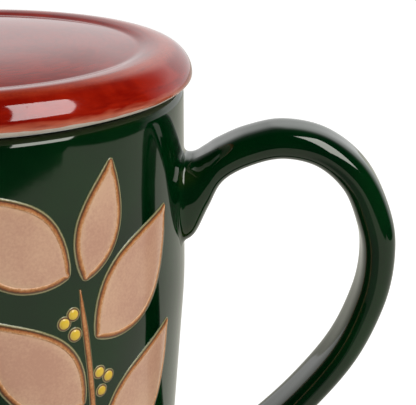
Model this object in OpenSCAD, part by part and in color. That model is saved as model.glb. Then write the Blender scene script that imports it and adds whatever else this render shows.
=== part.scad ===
// Lidded stoneware tea mug with a lift-out steel infuser.
//
// The mug stands on its foot ring. Its upright wall draws in towards the foot, and a looped
// strap handle is luted to its side. A steel basket hangs in the mug: the flange of its pressed
// collar lies on the flat of the rim, the collar's skirt holds the punched wall, and a punched
// cup closes the bottom. The lid is a thick disc with a broad rolled edge, and its top rises
// gently inside a crest ring. It lies on the flange, and a ring under it drops into the collar,
// so that it can't slide off.
//
// Millimetres. The origin is the middle of the foot on the table. +Z is up, and the handle
// points along +X.

/* [Mug] */
// Outer radius of the upright part of the wall
mug_r = 44.3; // [42:0.1:50]
// Height of the rim above the table
mug_h = 105.1; // [100:0.1:125]
// Thickness of the wall
mug_wall = 4.8; // [4:0.1:5.5]
// Thickness of the floor above the foot recess
mug_floor_t = 5; // [4:0.5:8]
// Radius that rounds both edges of the rim
rim_round = 1.8; // [0.8:0.1:1.9]
// Height at which the wall starts to draw in
taper_z = 65; // [50:1:75]
// Angle by which the lower wall draws in, in degrees
taper_angle = 4.4; // [2:0.1:5]
// Height of the soft bend between the upright and the tapered wall
taper_blend = 10; // [4:1:16]
// Outer radius of the foot ring
foot_r = 32.5; // [28:0.5:33]
// Width of the foot ring
foot_w = 3.5; // [2.5:0.1:5]
// Height of the foot ring under the body
foot_h = 3; // [2:0.5:5]
// Radius of the round between the wall and the underside
base_round = 7; // [5:0.5:7]
// Radius of the round between the wall and the floor, inside
cavity_round = 10; // [6:0.5:14]

/* [Handle] */
// How far the handle reaches out from the wall
handle_reach = 42.8; // [38:0.1:50]
// Height of the rim above the middle of the strap at the top of the loop
handle_drop = 10.9; // [9:0.1:14]
// Height of the loop, from the middle of its lower root to the middle of the strap at its top
handle_span = 73.8; // [68:0.1:75]
// Thickness of the strap
strap_t = 7.1; // [6:0.1:9]
// Width of the strap, across the loop
strap_w = 14.4; // [11:0.1:18]
// How square the strap's section is: 2 is an oval, and more makes its faces flatter
strap_square = 3; // [2:0.1:4]
// Width that the strap gains where it joins the wall
root_flare = 3; // [1:0.5:4]
// Depth by which the roots are luted into the wall
root_sink = 1.4; // [1.3:0.1:2]

/* [Lid] */
// Outer radius of the lid
lid_r = 46; // [45.4:0.1:52]
// Height of the lid's widest line above its flat underside
lid_belly_z = 1.8; // [1.4:0.1:2.4]
// Width of the round under the lid's edge
lid_edge_w = 2.8; // [2:0.1:2.8]
// Height of the crest ring above the flat underside
lid_h = 7.3; // [7:0.1:10]
// Radius of the crest ring
crest_r = 39.3; // [37:0.1:41]
// Width of the soft step inside the crest ring
crest_step_w = 4; // [2:0.1:5]
// Depth of that step
crest_step_d = 0.7; // [0.3:0.1:1.2]
// Rise of the top from the step to its middle
dome_rise = 1.3; // [0.5:0.1:2.5]
// Thickness of the lid under its domed top
lid_t = 5; // [4:0.1:6]
// Depth of the locating ring below the flat underside
locator_d = 4; // [3:0.5:5]
// Thickness of the locating ring
locator_t = 3; // [2.5:0.1:4]
// Radius that rounds the edges of the locating ring
locator_round = 1; // [0.5:0.1:1.2]

/* [Infuser] */
// Thickness of the pressed steel
sheet_t = 0.6; // [0.5:0.1:0.8]
// Thickness of the punched steel
punched_t = 0.4; // [0.3:0.1:0.5]
// Distance from the flange's edge in to the outer face of the mug
flange_back = 1.8; // [1.6:0.1:2]
// Inside radius of the bends of the collar
collar_bend = 0.5; // [0.4:0.1:0.6]
// Depth of the collar's shoulder below the top of the flange
shoulder_d = 6.5; // [6:0.1:12]
// Width by which the shoulder steps in
shoulder_w = 2.9; // [2.2:0.1:5]
// Length of the skirt under the shoulder
skirt_h = 7; // [5:0.5:12]
// Depth of the bottom of the infuser below the top of its flange
infuser_h = 68; // [50:1:75]
// Length by which the punched wall laps into the skirt and into the base cup
lap_h = 4.5; // [3:0.5:4.5]
// Diameter of the punched holes
hole_d = 1.8; // [1.2:0.1:2.4]
// Distance between neighbouring rows of holes in the wall
hole_rise = 5; // [4.5:0.1:8]
// Number of holes in one row round the wall
holes_round = 36; // [24:1:40]
// Distance between neighbouring holes in the base
base_pitch = 7; // [6:0.1:10]
// Plain margin between the holes and the edge of a punched sheet
hole_margin = 3; // [2.5:0.1:6]

/* [Fits] */
// Gap all round between the collar and the wall of the mug
collar_gap = 1; // [0.5:0.1:1.5]
// Gap all round between the locating ring and the collar
locator_gap = 0.6; // [0.3:0.1:1]

/* [Hidden] */
glaze_green = "#0d2b14";
glaze_red = "#8a1a0e";
steel = "#c4c6c8";
turned = 128;           // segments of a turned shape
hole_sides = 16;        // segments of a punched hole
arc_steps = 8;          // parts of a round stretch in an outline
cut = 1;                // length by which a cut runs past the faces it opens

// Heights that the pieces share
floor_z = foot_h + mug_floor_t;
flange_top = mug_h + sheet_t;
shoulder_z = flange_top - shoulder_d;
skirt_low = shoulder_z - skirt_h;
infuser_z = flange_top - infuser_h;

// Radii that the pieces share
flange_r = mug_r - flange_back;
collar_r = mug_r - mug_wall - collar_gap - sheet_t;
skirt_r = collar_r - shoulder_w;
seat_r = collar_r + sheet_t + collar_bend;

// Points on an arc about [x, y], with the radii rx and ry, from angle a to angle b
function arc(x, y, rx, ry, a, b, n = arc_steps) =
    [for (i = [0:n]) let (t = a + (b - a) * i / n) [x + rx * cos(t), y + ry * sin(t)]];

// Outer radius of the mug's wall at height z
function wall_r(z) =
    let (down = taper_z + taper_blend / 2 - z)
    down <= 0 ? mug_r
    : down < taper_blend ? mug_r - tan(taper_angle) * down * down / (2 * taper_blend)
    : mug_r - tan(taper_angle) * (taper_z - z);

// Heights of the points that the soft bend takes, from its top down
function bend_heights() =
    [for (i = [0:arc_steps]) taper_z + taper_blend * (0.5 - i / arc_steps)];

// Radius at which the middle of a round lies, when the round has radius r and its middle is
// at height z, and it leaves the wall's outline moved in by inset
function round_x(z, r, inset) =
    wall_r(z - r * sin(taper_angle)) - inset - r * cos(taper_angle);

module mug_body() {
    rim_x = mug_r - rim_round;
    rim_mid = mug_h - rim_round;
    lip_x = mug_r - mug_wall + rim_round;
    base_mid = foot_h + base_round;
    base_x = round_x(base_mid, base_round, 0);
    cavity_mid = floor_z + cavity_round;
    cavity_x = round_x(cavity_mid, cavity_round, mug_wall);
    edge = foot_w / 4;
    outside = concat(
        arc(rim_x, rim_mid, rim_round, rim_round, 90, 0),
        [for (z = bend_heights()) [wall_r(z), z]],
        arc(base_x, base_mid, base_round, base_round, -taper_angle, -90),
        [[foot_r, foot_h]],
        arc(foot_r - edge, edge, edge, edge, 0, -90),
        arc(foot_r - foot_w + edge, edge, edge, edge, -90, -180),
        [[foot_r - foot_w, foot_h], [0, foot_h]]);
    inside = concat(
        [[0, floor_z]],
        arc(cavity_x, cavity_mid, cavity_round, cavity_round, -90, -taper_angle),
        [for (i = [arc_steps:-1:0]) let (z = bend_heights()[i]) [wall_r(z) - mug_wall, z]],
        arc(lip_x, rim_mid, rim_round, rim_round, 180, 90));
    color(glaze_green)
        rotate_extrude($fn = turned)
            polygon(concat(outside, inside));
}

// The handle is a strap swept round a loop. Each station gives the middle of the strap, as a
// share of the reach from the wall and a share of the span above the lower root, then the
// direction of the strap's thickness there in degrees, the thickness in strap_t, and the share
// of the root's flare.
stations = [
    [0.000, 0.835, 90, 2.42, 1.00],
    [0.081, 0.848, 90, 2.18, 0.80],
    [0.146, 0.896, 93, 1.55, 0.45],
    [0.213, 0.943, 97, 1.02, 0.20],
    [0.349, 0.981, 98, 0.91, 0.05],
    [0.524, 1.000, 90, 0.91, 0.00],
    [0.718, 0.974, 69, 0.94, 0.00],
    [0.881, 0.895, 43, 0.98, 0.00],
    [0.975, 0.779, 17, 1.00, 0.00],
    [1.000, 0.679, 0, 0.94, 0.00],
    [0.971, 0.547, -16, 0.89, 0.00],
    [0.875, 0.398, -31, 0.85, 0.00],
    [0.708, 0.261, -40, 0.83, 0.00],
    [0.501, 0.136, -46, 0.81, 0.00],
    [0.303, 0.043, -57, 0.90, 0.10],
    [0.145, 0.003, -75, 1.37, 0.45],
    [0.000, 0.000, -90 - taper_angle, 1.94, 1.00]];
ring_sides = 16;
rings_between = 3;

// A value on the smooth curve through b and c, with their neighbours a and d
function curve(a, b, c, d, t) =
    b + t * ((c - a) / 2 + t * (a - 2.5 * b + 2 * c - d / 2 + t * (1.5 * (b - c) + (d - a) / 2)));

function station(i) = stations[max(0, min(len(stations) - 1, i))];

// Point at angle a of the strap's section, as shares of its half thickness and half width
function section(a) = [for (v = [cos(a), sin(a)]) sign(v) * pow(abs(v), 2 / strap_square)];

// Ring of the strap at the share t of the way from station i to the next one
function strap_ring(i, t) =
    let (s = curve(station(i - 1), station(i), station(i + 1), station(i + 2), t),
         z = mug_h - handle_drop - handle_span * (1 - s[1]),
         x = wall_r(z) - root_sink + (handle_reach - strap_t / 2 + root_sink) * s[0],
         half_t = strap_t * s[3] / 2,
         half_w = (strap_w + root_flare * s[4]) / 2)
    [for (k = [0:ring_sides - 1])
        let (p = section(360 * k / ring_sides), out = half_t * p[0])
        [x + out * cos(s[2]), half_w * p[1], z + out * sin(s[2])]];

module handle() {
    last = len(stations) - 1;
    rings = concat(
        [for (i = [0:last - 1], k = [0:rings_between - 1]) strap_ring(i, k / rings_between)],
        [strap_ring(last - 1, 1)]);
    points = [for (ring = rings, p = ring) p];
    end = (len(rings) - 1) * ring_sides;
    sides = [for (i = [0:len(rings) - 2], k = [0:ring_sides - 1])
        let (here = i * ring_sides, next = (k + 1) % ring_sides)
        [here + k, here + next, here + ring_sides + next, here + ring_sides + k]];
    color(glaze_green)
        polyhedron(points, concat(
            [[for (k = [ring_sides - 1:-1:0]) k]],
            sides,
            [[for (k = [0:ring_sides - 1]) end + k]]));
}

// Height of the lid's domed top above its underside, at radius r inside the crest ring
function dome_z(r) =
    lid_h - crest_step_d + dome_rise * (1 - pow(r / (crest_r - crest_step_w), 2));

module lid() {
    dome_steps = 2 * arc_steps;
    dome_r = crest_r - crest_step_w;
    locator_r = collar_r - locator_gap;
    hollow_r = locator_r - locator_t;
    roof_r = hollow_r - locator_round;
    roof_mid = dome_z(roof_r) - lid_t - locator_round;
    ring_mid = locator_round - locator_d;
    flat_r = lid_r - lid_edge_w;
    top = concat(
        [for (i = [0:dome_steps]) let (r = dome_r * i / dome_steps) [r, dome_z(r)]],
        [for (i = [1:arc_steps - 1]) let (s = i / arc_steps)
            [dome_r + crest_step_w * s, lid_h - crest_step_d * (1 + cos(180 * s)) / 2]],
        arc(crest_r, lid_belly_z, lid_r - crest_r, lid_h - lid_belly_z, 90, 0, 2 * arc_steps));
    edge = [for (i = [1:arc_steps]) let (t = 90 * i / arc_steps)
        [flat_r + lid_edge_w * cos(t), lid_belly_z * (1 - sin(t))]];
    ring = concat(
        [[locator_r, 0]],
        arc(locator_r - locator_round, ring_mid, locator_round, locator_round, 0, -90),
        arc(hollow_r + locator_round, ring_mid, locator_round, locator_round, -90, -180),
        arc(roof_r, roof_mid, locator_round, locator_round, 0, 90));
    roof = [for (i = [dome_steps - 1:-1:0]) let (r = roof_r * i / dome_steps)
        [r, dome_z(r) - lid_t]];
    color(glaze_red)
        translate([0, 0, flange_top])
            rotate_extrude($fn = turned)
                polygon(concat(top, edge, ring, roof));
}

module infuser_collar() {
    outer_bend = collar_bend + sheet_t;
    low_x = skirt_r + outer_bend;
    top_mid = flange_top - outer_bend;
    mid_mid = shoulder_z + collar_bend;
    low_mid = shoulder_z - outer_bend;
    mid_x = collar_r - collar_bend;
    front = concat(
        [[flange_r, flange_top]],
        arc(seat_r, top_mid, outer_bend, outer_bend, 90, 180),
        arc(mid_x, mid_mid, collar_bend, collar_bend, 0, -90),
        arc(low_x, low_mid, outer_bend, outer_bend, 90, 180),
        [[skirt_r, skirt_low]]);
    back = concat(
        [[skirt_r + sheet_t, skirt_low]],
        arc(low_x, low_mid, collar_bend, collar_bend, 180, 90),
        arc(mid_x, mid_mid, outer_bend, outer_bend, -90, 0),
        arc(seat_r, top_mid, collar_bend, collar_bend, 180, 90),
        [[flange_r, mug_h]]);
    color(steel)
        rotate_extrude($fn = turned)
            polygon(concat(front, back));
}

module infuser_wall() {
    wall_top = skirt_low + lap_h;
    wall_low = infuser_z + punched_t;
    wall_h = wall_top - wall_low;
    first_row = infuser_z + lap_h + hole_margin;
    rows = floor((skirt_low - hole_margin - first_row) / hole_rise);
    color(steel)
        difference() {
            translate([0, 0, wall_low])
                cylinder(h = wall_h, r = skirt_r, $fn = turned);
            translate([0, 0, wall_low - cut])
                cylinder(h = wall_h + 2 * cut, r = skirt_r - punched_t, $fn = turned);
            for (row = [0:rows], k = [0:holes_round - 1])
                rotate([0, 0, (k + 0.5 * (row % 2)) * 360 / holes_round])
                    translate([skirt_r - punched_t - cut, 0, first_row + row * hole_rise])
                        rotate([0, 90, 0])
                            cylinder(h = punched_t + 2 * cut, d = hole_d, $fn = hole_sides);
        }
}

module infuser_base() {
    cup_r = skirt_r + punched_t;
    reach = skirt_r - hole_margin;
    rise = base_pitch * sin(60);
    n = ceil(reach / rise);
    color(steel)
        translate([0, 0, infuser_z])
            difference() {
                cylinder(h = lap_h, r = cup_r, $fn = turned);
                translate([0, 0, punched_t])
                    cylinder(h = lap_h, r = skirt_r, $fn = turned);
                for (i = [-n:n], j = [-n:n])
                    let (x = (i + 0.5 * abs(j % 2)) * base_pitch, y = j * rise)
                    if (norm([x, y]) < reach)
                        translate([x, y, -cut])
                            cylinder(h = punched_t + 2 * cut, d = hole_d, $fn = hole_sides);
            }
}

mug_body();
handle();
lid();
infuser_collar();
infuser_wall();
infuser_base();
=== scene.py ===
# %% [markdown]
# # A lidded tea mug with a steel infuser
#
# The mug is a stoneware cup with a looped handle under a dark green glossy glaze. Leaf sprays
# in pink glaze, edged with brown wax-resist lines, run round its wall. A red glazed lid lies on
# the flange of a punched steel basket, which hangs from the rim.
#
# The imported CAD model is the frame. It says where each piece is and what it moves with. Blender
# adds smooth surfaces, glaze, clay and steel, and never moves or resizes a CAD part.

# %% Load the frame
import math
import random
from functools import partial

import bpy
import numpy as np
from mathutils import Matrix, Vector


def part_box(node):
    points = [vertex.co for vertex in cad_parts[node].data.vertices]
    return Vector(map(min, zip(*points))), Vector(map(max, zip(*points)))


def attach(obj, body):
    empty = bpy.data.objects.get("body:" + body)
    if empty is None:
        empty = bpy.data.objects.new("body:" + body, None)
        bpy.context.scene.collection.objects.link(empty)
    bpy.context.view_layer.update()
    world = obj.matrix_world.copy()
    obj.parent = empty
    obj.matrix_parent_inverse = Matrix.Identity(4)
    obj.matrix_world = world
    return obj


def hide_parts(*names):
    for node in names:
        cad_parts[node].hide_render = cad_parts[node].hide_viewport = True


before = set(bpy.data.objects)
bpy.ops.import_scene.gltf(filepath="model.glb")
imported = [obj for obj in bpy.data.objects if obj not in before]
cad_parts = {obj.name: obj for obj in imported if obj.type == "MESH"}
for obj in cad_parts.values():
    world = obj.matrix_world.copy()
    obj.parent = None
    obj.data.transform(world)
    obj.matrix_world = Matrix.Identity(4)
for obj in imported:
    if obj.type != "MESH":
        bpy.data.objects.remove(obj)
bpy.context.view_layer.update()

# %% [markdown]
# ## Sizes
#
# Drawing in millimetres is easier to read than metres, so every outline below is in millimetres
# and is scaled once, when its mesh is made. Sizes that the frame can give are read from it.
# The rest repeat the named sizes of the CAD model. Three details are drawn a little differently
# from the CAD model: the corners of the strap's section, the curve of the lid's dome and crest,
# and the holes of the basket.

# %% Sizes in millimetres
MM = 0.001


def top_of(node):
    """Highest corner of a CAD node, in millimetres."""
    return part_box(node)[1] / MM


mug_r = top_of("mug_body").x
mug_h = top_of("mug_body").z
mug_wall = 4.8
foot_r, foot_w, foot_h = 32.5, 3.5, 3.0
floor_z = foot_h + 5.0
rim_round, base_round, cavity_round = 1.8, 7.0, 10.0
taper_z, taper_blend, taper_angle = 65.0, 10.0, math.radians(4.4)

seat_z = top_of("infuser_collar").z
lid_r = top_of("lid").x
lid_belly, lid_crest, lid_edge_w = 1.8, 7.3, 2.8
crest_r, crest_step_w, crest_step_d, dome_rise = 39.3, 4.0, 0.7, 1.3
lid_t, ring_depth, ring_t, ring_round = 5.0, 4.0, 3.0, 1.0

sheet_t, punched_t = 0.6, 0.4
flange_r, collar_r, locator_gap = 42.5, 37.9, 0.6
shoulder_w, shoulder_d, skirt_h, infuser_h, lap_h = 2.9, 6.5, 7.0, 68.0, 4.5
skirt_r = collar_r - shoulder_w
skirt_low, basket_low = seat_z - shoulder_d - skirt_h, seat_z - infuser_h


def wall_r(z):
    """Outer radius of the mug's wall at height z: upright, then a soft bend, then a taper."""
    down = taper_z + taper_blend / 2 - z
    bend = np.clip(down, 0, taper_blend)
    past = np.maximum(0, down - taper_blend)
    return mug_r - math.tan(taper_angle) * (bend ** 2 / (2 * taper_blend) + past)


print(f"mug {mug_r * 2:.1f} mm across and {mug_h:.1f} mm high, with the lid's seat at {seat_z:.1f} mm")

# %% [markdown]
# ## The camera
#
# A product picture of a mug is taken with a long lens from a little above. A longer lens makes
# the rim and the foot look equally wide, and a height of about 18 degrees shows the lid's top.

# %% Camera
camera_data = bpy.data.cameras.new("camera")
camera_data.lens = 120
camera_data.sensor_width = 36
camera_data.clip_start, camera_data.clip_end = 0.01, 20
camera = bpy.data.objects.new("camera", camera_data)
camera_x, camera_y, camera_z, middle_z = 49.05, -266.15, 167.73, 80.74
camera.location = Vector((camera_x, camera_y, camera_z)) * MM
looks_at = Vector((camera_x, 0, middle_z)) * MM
camera.rotation_euler = (looks_at - camera.location).to_track_quat("-Z", "Y").to_euler()
bpy.context.scene.collection.objects.link(camera)
bpy.context.scene.camera = camera
print("camera", round((looks_at - camera.location).length / MM), "mm from the middle of its view")

# %% [markdown]
# ## Helpers for nodes and colours
#
# Every material and every Geometry Nodes tree below is built by script. One function adds a node,
# sets its settings and fills its sockets, either with a value or with a link from another node.
# Another turns the sRGB colours that people write down into the linear light values that a
# shader works in.

# %% Node and colour helpers
def fill(node, sockets):
    """Fills sockets of a node. sockets maps a name or number to a value, an output or a node to link.

    A node stands for its first output that is in use."""
    for socket, value in sockets.items():
        if isinstance(value, bpy.types.Node):
            value = next(out for out in value.outputs if out.enabled)
        if isinstance(value, bpy.types.NodeSocket):
            node.id_data.links.new(value, node.inputs[socket])
        else:
            node.inputs[socket].default_value = value


def add_node(tree, kind, *values, **settings):
    """Adds one node to a tree. values fill its sockets in turn, or one dict names them.

    kind is the node's type without its family's name, and its operation may follow after a space."""
    kind, *operation = kind.split()
    family = next(f for f in ("GeometryNode", "ShaderNode", "") if hasattr(bpy.types, f + kind))
    made = tree.nodes.new(family + kind)
    if operation:
        settings["operation"] = operation[0]
    for name, value in settings.items():
        setattr(made, name, value)
    by_name = len(values) == 1 and isinstance(values[0], dict)
    fill(made, values[0] if by_name else dict(enumerate(values)))
    return made


def set_stops(ramp, stops):
    """Gives a colour ramp, which has two stops at first, its stops of (place, colour)."""
    elements = ramp.color_ramp.elements
    for i, (at, shade) in enumerate(stops):
        stop = elements[i] if i < 2 else elements.new(at)
        stop.position, stop.color = at, shade


def new_material(name):
    """A new material, the function that adds nodes to it, and the Principled shader in it."""
    material = bpy.data.materials.new(name)
    material.use_nodes = True
    return material, partial(add_node, material.node_tree), material.node_tree.nodes["Principled BSDF"]


def colour(hex_text):
    """Linear RGBA of an sRGB hex colour."""
    parts = [int(hex_text[i:i + 2], 16) / 255 for i in (1, 3, 5)]
    linear = [p / 12.92 if p <= 0.04045 else ((p + 0.055) / 1.055) ** 2.4 for p in parts]
    return (*linear, 1.0)


print("green glaze in linear light:", [round(v, 4) for v in colour("#001c09")])

# %% [markdown]
# ## Glaze and bare clay
#
# A glaze is a layer of glass about 0.3 mm thick, melted onto the clay. It gives the eye four
# things: a sharp reflection with a faint orange-peel waviness, a colour that is deep where it
# pooled and pale where it ran thin over an edge, small pits, and a clear line where it stops and
# the matte clay begins. One material function makes all of them. The mesh carries two numbers for
# each point: `thin`, from 0 for a full coat to 1 over a sharp edge, and `bare`, the distance in
# millimetres from the line where the glaze was wiped off, which is negative on the clay.
#
# The colour could also come from a painted image, but a rule that reads the surface follows the
# shape by itself, also where the sizes change.

# %% The glaze material
CLAY, CLAY_SHADE = "#d8cdbf", "#bfb09e"


def glaze(name, deep, full, thin, break_colour=None, roughness=0.06, pits=0.5, peel=0.005, break_w=1.6,
          streaks=0.0, line_tilt=0.0, gloss_tint="#ffffff", grainy=0.0):
    """A glossy glaze. Its colours are for pooled, full and thin glaze, and for its lowest edge.

    line_tilt is how far the glaze line drops along +X, in mm for each mm. grainy is the share of the
    0.5 mm mottling in the full coat."""
    material, add, shader = new_material(name)
    place = add("TexCoord").outputs["Object"]
    # noises: clouds of 14 mm where the glaze is a little thicker, 0.5 mm mottling in it, the waver of
    # its lowest edge, the speckle of the clay, and orange peel 2.5 mm from crest to crest
    clouds, grain, waver, speckle, skin = (
        add("TexNoise", {"Vector": place, "Scale": scale, "Detail": detail})
        for scale, detail in ((70, 3), (2000, 2), (160, 2), (1400, 4), (400, 1)))
    # streaks that the brush or the wheel left round the axis, 6 mm long and 0.6 mm wide
    parts = add("SeparateXYZ", place).outputs
    spoke = add("CombineXYZ", parts[0], parts[1])
    reach = add("VectorMath LENGTH", spoke).outputs["Value"]
    lane = add("Math MULTIPLY_ADD", reach, 0.8, parts[2])
    round_it = add("VectorMath NORMALIZE", spoke)
    turn = add("Mapping", {"Vector": round_it, "Scale": (8, 8, 0)})
    lanes = add("Math MULTIPLY", lane, 1600)
    up = add("CombineXYZ", {2: lanes})
    lay = add("VectorMath ADD", turn, up)
    streak = add("TexNoise", {"Vector": lay, "Scale": 1, "Detail": 3})
    streaky = add("Math MULTIPLY_ADD", streak, streaks, -0.5 * streaks)
    streaked = add("Math ADD", clouds, streaky)
    mottle = add("Math MULTIPLY_ADD", grain, grainy, -0.5 * grainy)
    mixed = add("Math ADD", streaked, mottle)
    tone = add("MapRange", mixed, 0.35, 0.65)
    base = add("Mix", {0: tone, 6: colour(deep), 7: colour(full)}, data_type="RGBA")
    # thin glaze over edges, broken up by the mottling
    edge = add("Attribute", attribute_name="thin").outputs["Fac"]
    fleck = add("Math MULTIPLY_ADD", grain, 0.9, -0.45)
    drift = add("Math MULTIPLY_ADD", clouds, 0.8, -0.4)
    both = add("Math ADD", fleck, drift)
    uneven = add("Math ADD", both, streaky)
    edge_now = add("Math MULTIPLY_ADD", uneven, edge, edge)
    thin_share = add("MapRange", edge_now, 0.1, 1.0)
    coat = add("Mix", {0: thin_share, 6: base, 7: colour(thin)}, data_type="RGBA")
    # the lowest edge of the glaze, then bare clay
    bare = add("Attribute", attribute_name="bare").outputs["Fac"]
    shift = add("Math MULTIPLY_ADD", waver, 0.9, -0.45)
    level = add("Math MULTIPLY_ADD", parts[0], line_tilt / MM, bare)
    limit = add("Math ADD", level, shift)
    ragged = add("Math MULTIPLY_ADD", streaky, -1.5, limit)
    breaking = add("MapRange", ragged, break_w * 0.1, break_w, 1.0, 0.0)
    broken = add("Mix", {0: breaking, 6: coat, 7: colour(break_colour or thin)}, data_type="RGBA")
    clay = add("Mix", {0: speckle, 6: colour(CLAY_SHADE), 7: colour(CLAY)}, data_type="RGBA")
    is_clay = add("MapRange", limit, -0.06, 0.06, 1.0, 0.0)
    final = add("Mix", {0: is_clay, 6: broken, 7: clay}, data_type="RGBA")
    # gloss: a little uneven on the glaze, matte on the clay
    gloss = add("MapRange", {0: clouds, 3: roughness * 0.6, 4: roughness * 1.4})
    rough = add("Mix", {0: is_clay, 2: gloss, 3: 0.8})
    # relief: orange peel, pits 0.2 mm wide, and the tooth of the clay
    cells = add("TexVoronoi", {"Vector": place, "Scale": 260})
    chosen = add("SeparateColor", cells.outputs["Color"])
    few = add("Math GREATER_THAN", chosen, 1 - 0.2 * pits)
    hole = add("MapRange", cells.outputs["Distance"], 0.01, 0.035, -1.0, 0.0)
    pit = add("Math MULTIPLY", hole, few)
    wave = add("Bump", {"Distance": peel * MM, "Height": skin})
    dent = add("Bump", {"Distance": 0.02 * MM, "Height": pit, "Normal": wave})
    tooth_height = add("Math MULTIPLY", speckle, is_clay)
    tooth = add("Bump", {"Distance": 0.02 * MM, "Height": tooth_height, "Normal": dent})
    fill(shader, {"IOR": 1.5, "Specular Tint": colour(gloss_tint), "Base Color": final,
                  "Roughness": rough, "Normal": tooth})
    return material


green_glaze = glaze("copper_green_glaze", "#001c09", "#02270c", "#23300f", "#3b3a14", gloss_tint="#fefff4")
red_glaze = glaze("iron_red_glaze", "#800e04", "#981a07", "#b5401c", "#c26a4d", pits=0.9, streaks=1.1,
                  line_tilt=0.014)
pink_glaze = glaze("pink_glaze", "#bf9077", "#cfa486", "#dcb892", roughness=0.16, pits=0.3, grainy=0.45)
yellow_glaze = glaze("yellow_glaze", "#c79a1c", "#e0bb3a", "#e9d68a", roughness=0.12, pits=0.2)
print("glazes:", [m.name for m in (green_glaze, red_glaze, pink_glaze, yellow_glaze)])

# %% [markdown]
# ## Wax-resist lines
#
# Before glazing, the outlines of the leaves are drawn with a mix of wax and brown oxide. The
# glaze beads away from it, and what stays after firing is a dry brown line with a rough edge, a
# dark rim where the oxide is strongest, and a pale halo where thin glaze lies on light slip. The
# mesh carries the number `lay`, 0 at the leaf's side of the line and 1 at its outer side, and a
# colour ramp turns it into those bands. Noise of 0.4 mm mottles the inner side, like a brush does.

# %% The resist line material
def resist_line():
    material, add, shader = new_material("brown_resist_line")
    place = add("TexCoord").outputs["Object"]
    lay = add("Attribute", attribute_name="lay").outputs["Fac"]
    grain = add("TexNoise", {"Vector": place, "Scale": 2400, "Detail": 3})
    drift = add("TexNoise", {"Vector": place, "Scale": 300, "Detail": 2})
    fine = add("Math MULTIPLY_ADD", grain, 0.8, -0.4)
    wide = add("Math MULTIPLY_ADD", drift, 0.5, -0.25)
    noise = add("Math ADD", fine, wide)
    # the noise fades out towards the outer side, where the oxide line is crisp
    hold = add("MapRange", lay, 0.3, 0.75, 1.0, 0.12)
    where = add("Math MULTIPLY_ADD", noise, hold, lay)
    ramp = add("ValToRGB", where)
    bands = ((0.0, "#d8ab84"), (0.2, "#c48a54"), (0.48, "#a8662f"), (0.62, "#8a4f24"),
             (0.72, "#4a2712"), (0.8, "#6a5434"), (0.88, "#a39a72"), (1.0, "#414d2c"))
    set_stops(ramp, [(at, colour(shade)) for at, shade in bands])
    dry = add("MapRange", where, 0.0, 1.0, 0.55, 0.2)
    bump = add("Bump", {"Distance": 0.05 * MM, "Height": grain})
    fill(shader, {"Base Color": ramp, "Roughness": dry, "Normal": bump})
    return material


line_material = resist_line()
print("line material:", line_material.name)

# %% [markdown]
# ## Stainless steel
#
# The collar is pressed and then polished while it turns, which leaves fine rings round it. The
# punched sheet is satin, with the grain of the rolling. Both are plain metal, so the base colour
# is the colour of the reflection, and stretched noise gives the grain: long along the brushing
# and 0.15 mm across it. That is coarser than a real brush mark of 0.03 mm, so that it shows.

# %% The steel material
def steel(name, tint, roughness, stretch):
    material, add, shader = new_material(name)
    place = add("TexCoord").outputs["Object"]
    grain_place = add("Mapping", {"Vector": place, "Scale": stretch})
    brushed = add("TexNoise", {"Vector": grain_place, "Scale": 1, "Detail": 3})
    stain = add("TexNoise", {"Vector": place, "Scale": 90, "Detail": 2})
    shade = add("Mix", {0: stain, 6: colour(tint), 7: colour("#e2e3e4")}, data_type="RGBA")
    rough = add("MapRange", {0: brushed, 3: roughness * 0.7, 4: roughness * 1.3})
    bump = add("Bump", {"Distance": 0.004 * MM, "Height": brushed})
    fill(shader, {"Metallic": 1.0, "Base Color": shade, "Roughness": rough, "Normal": bump})
    return material


pressed_steel = steel("polished_stainless_steel", "#c9cbcd", 0.2, (60, 60, 6500))
punched_steel = steel("rolled_stainless_steel", "#bfc2c4", 0.32, (300, 300, 5000))
print("steels:", pressed_steel.name, "and", punched_steel.name)

# %% [markdown]
# ## Outlines with rounded corners
#
# A potter's template is a flat outline with softened corners. So is each outline here: a few
# corner points, each with the radius that rounds it. The function below puts an arc at each
# corner and adds points on long straight stretches, so that the turned surface bends smoothly.

# %% Outline helpers
def dense(points, step):
    """The same polyline with no stretch longer than step."""
    out = [points[0]]
    for a, b in zip(points, points[1:]):
        parts = max(1, math.ceil(math.dist(a, b) / step))
        out += [tuple(a[k] + (b[k] - a[k]) * i / parts for k in (0, 1)) for i in range(1, parts + 1)]
    return out


def rounded(corners, step=1.5, arc_parts=10):
    """Polyline through (radius, height, rounding) corners, with an arc at each rounded corner."""
    out = []
    for i, (x, z, round_r) in enumerate(corners):
        here = Vector((x, z))
        if not round_r:
            out.append(tuple(here))
            continue
        back = (Vector(corners[i - 1][:2]) - here).normalized()
        on = (Vector(corners[i + 1][:2]) - here).normalized()
        half = back.angle(on) / 2
        middle = here + (back + on).normalized() * (round_r / math.sin(half))
        start = here + back * (round_r / math.tan(half)) - middle
        end = here + on * (round_r / math.tan(half)) - middle
        sweep = start.angle(end)
        for k in range(arc_parts + 1):
            a = sweep * k / arc_parts
            spoke = start * (math.sin(sweep - a) / math.sin(sweep)) + end * (math.sin(a) / math.sin(sweep))
            out.append(tuple(middle + spoke))
    return dense(out, step)


def lengths_along(points):
    steps = [math.dist(a, b) for a, b in zip(points, points[1:])]
    return np.concatenate([[0], np.cumsum(steps)])


print("a 2 mm corner takes", len(rounded([(0, 0, 0), (5, 0, 2), (5, 5, 0)])), "points")

# %% [markdown]
# ## Turning, as a Geometry Nodes tree
#
# The body, the lid and the collar are all turned about one axis, on a wheel or in a press. A
# Screw modifier could spin them, but it would lose the numbers that the glaze reads. So the tree
# makes a grid with one column for each step round the axis, and moves each point of it to the
# matching point of the outline, turned by its column's angle. It copies `thin` and `bare` along,
# closes the seam, and then adds the slight wobble of a hand-finished pot along the normals.

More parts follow.
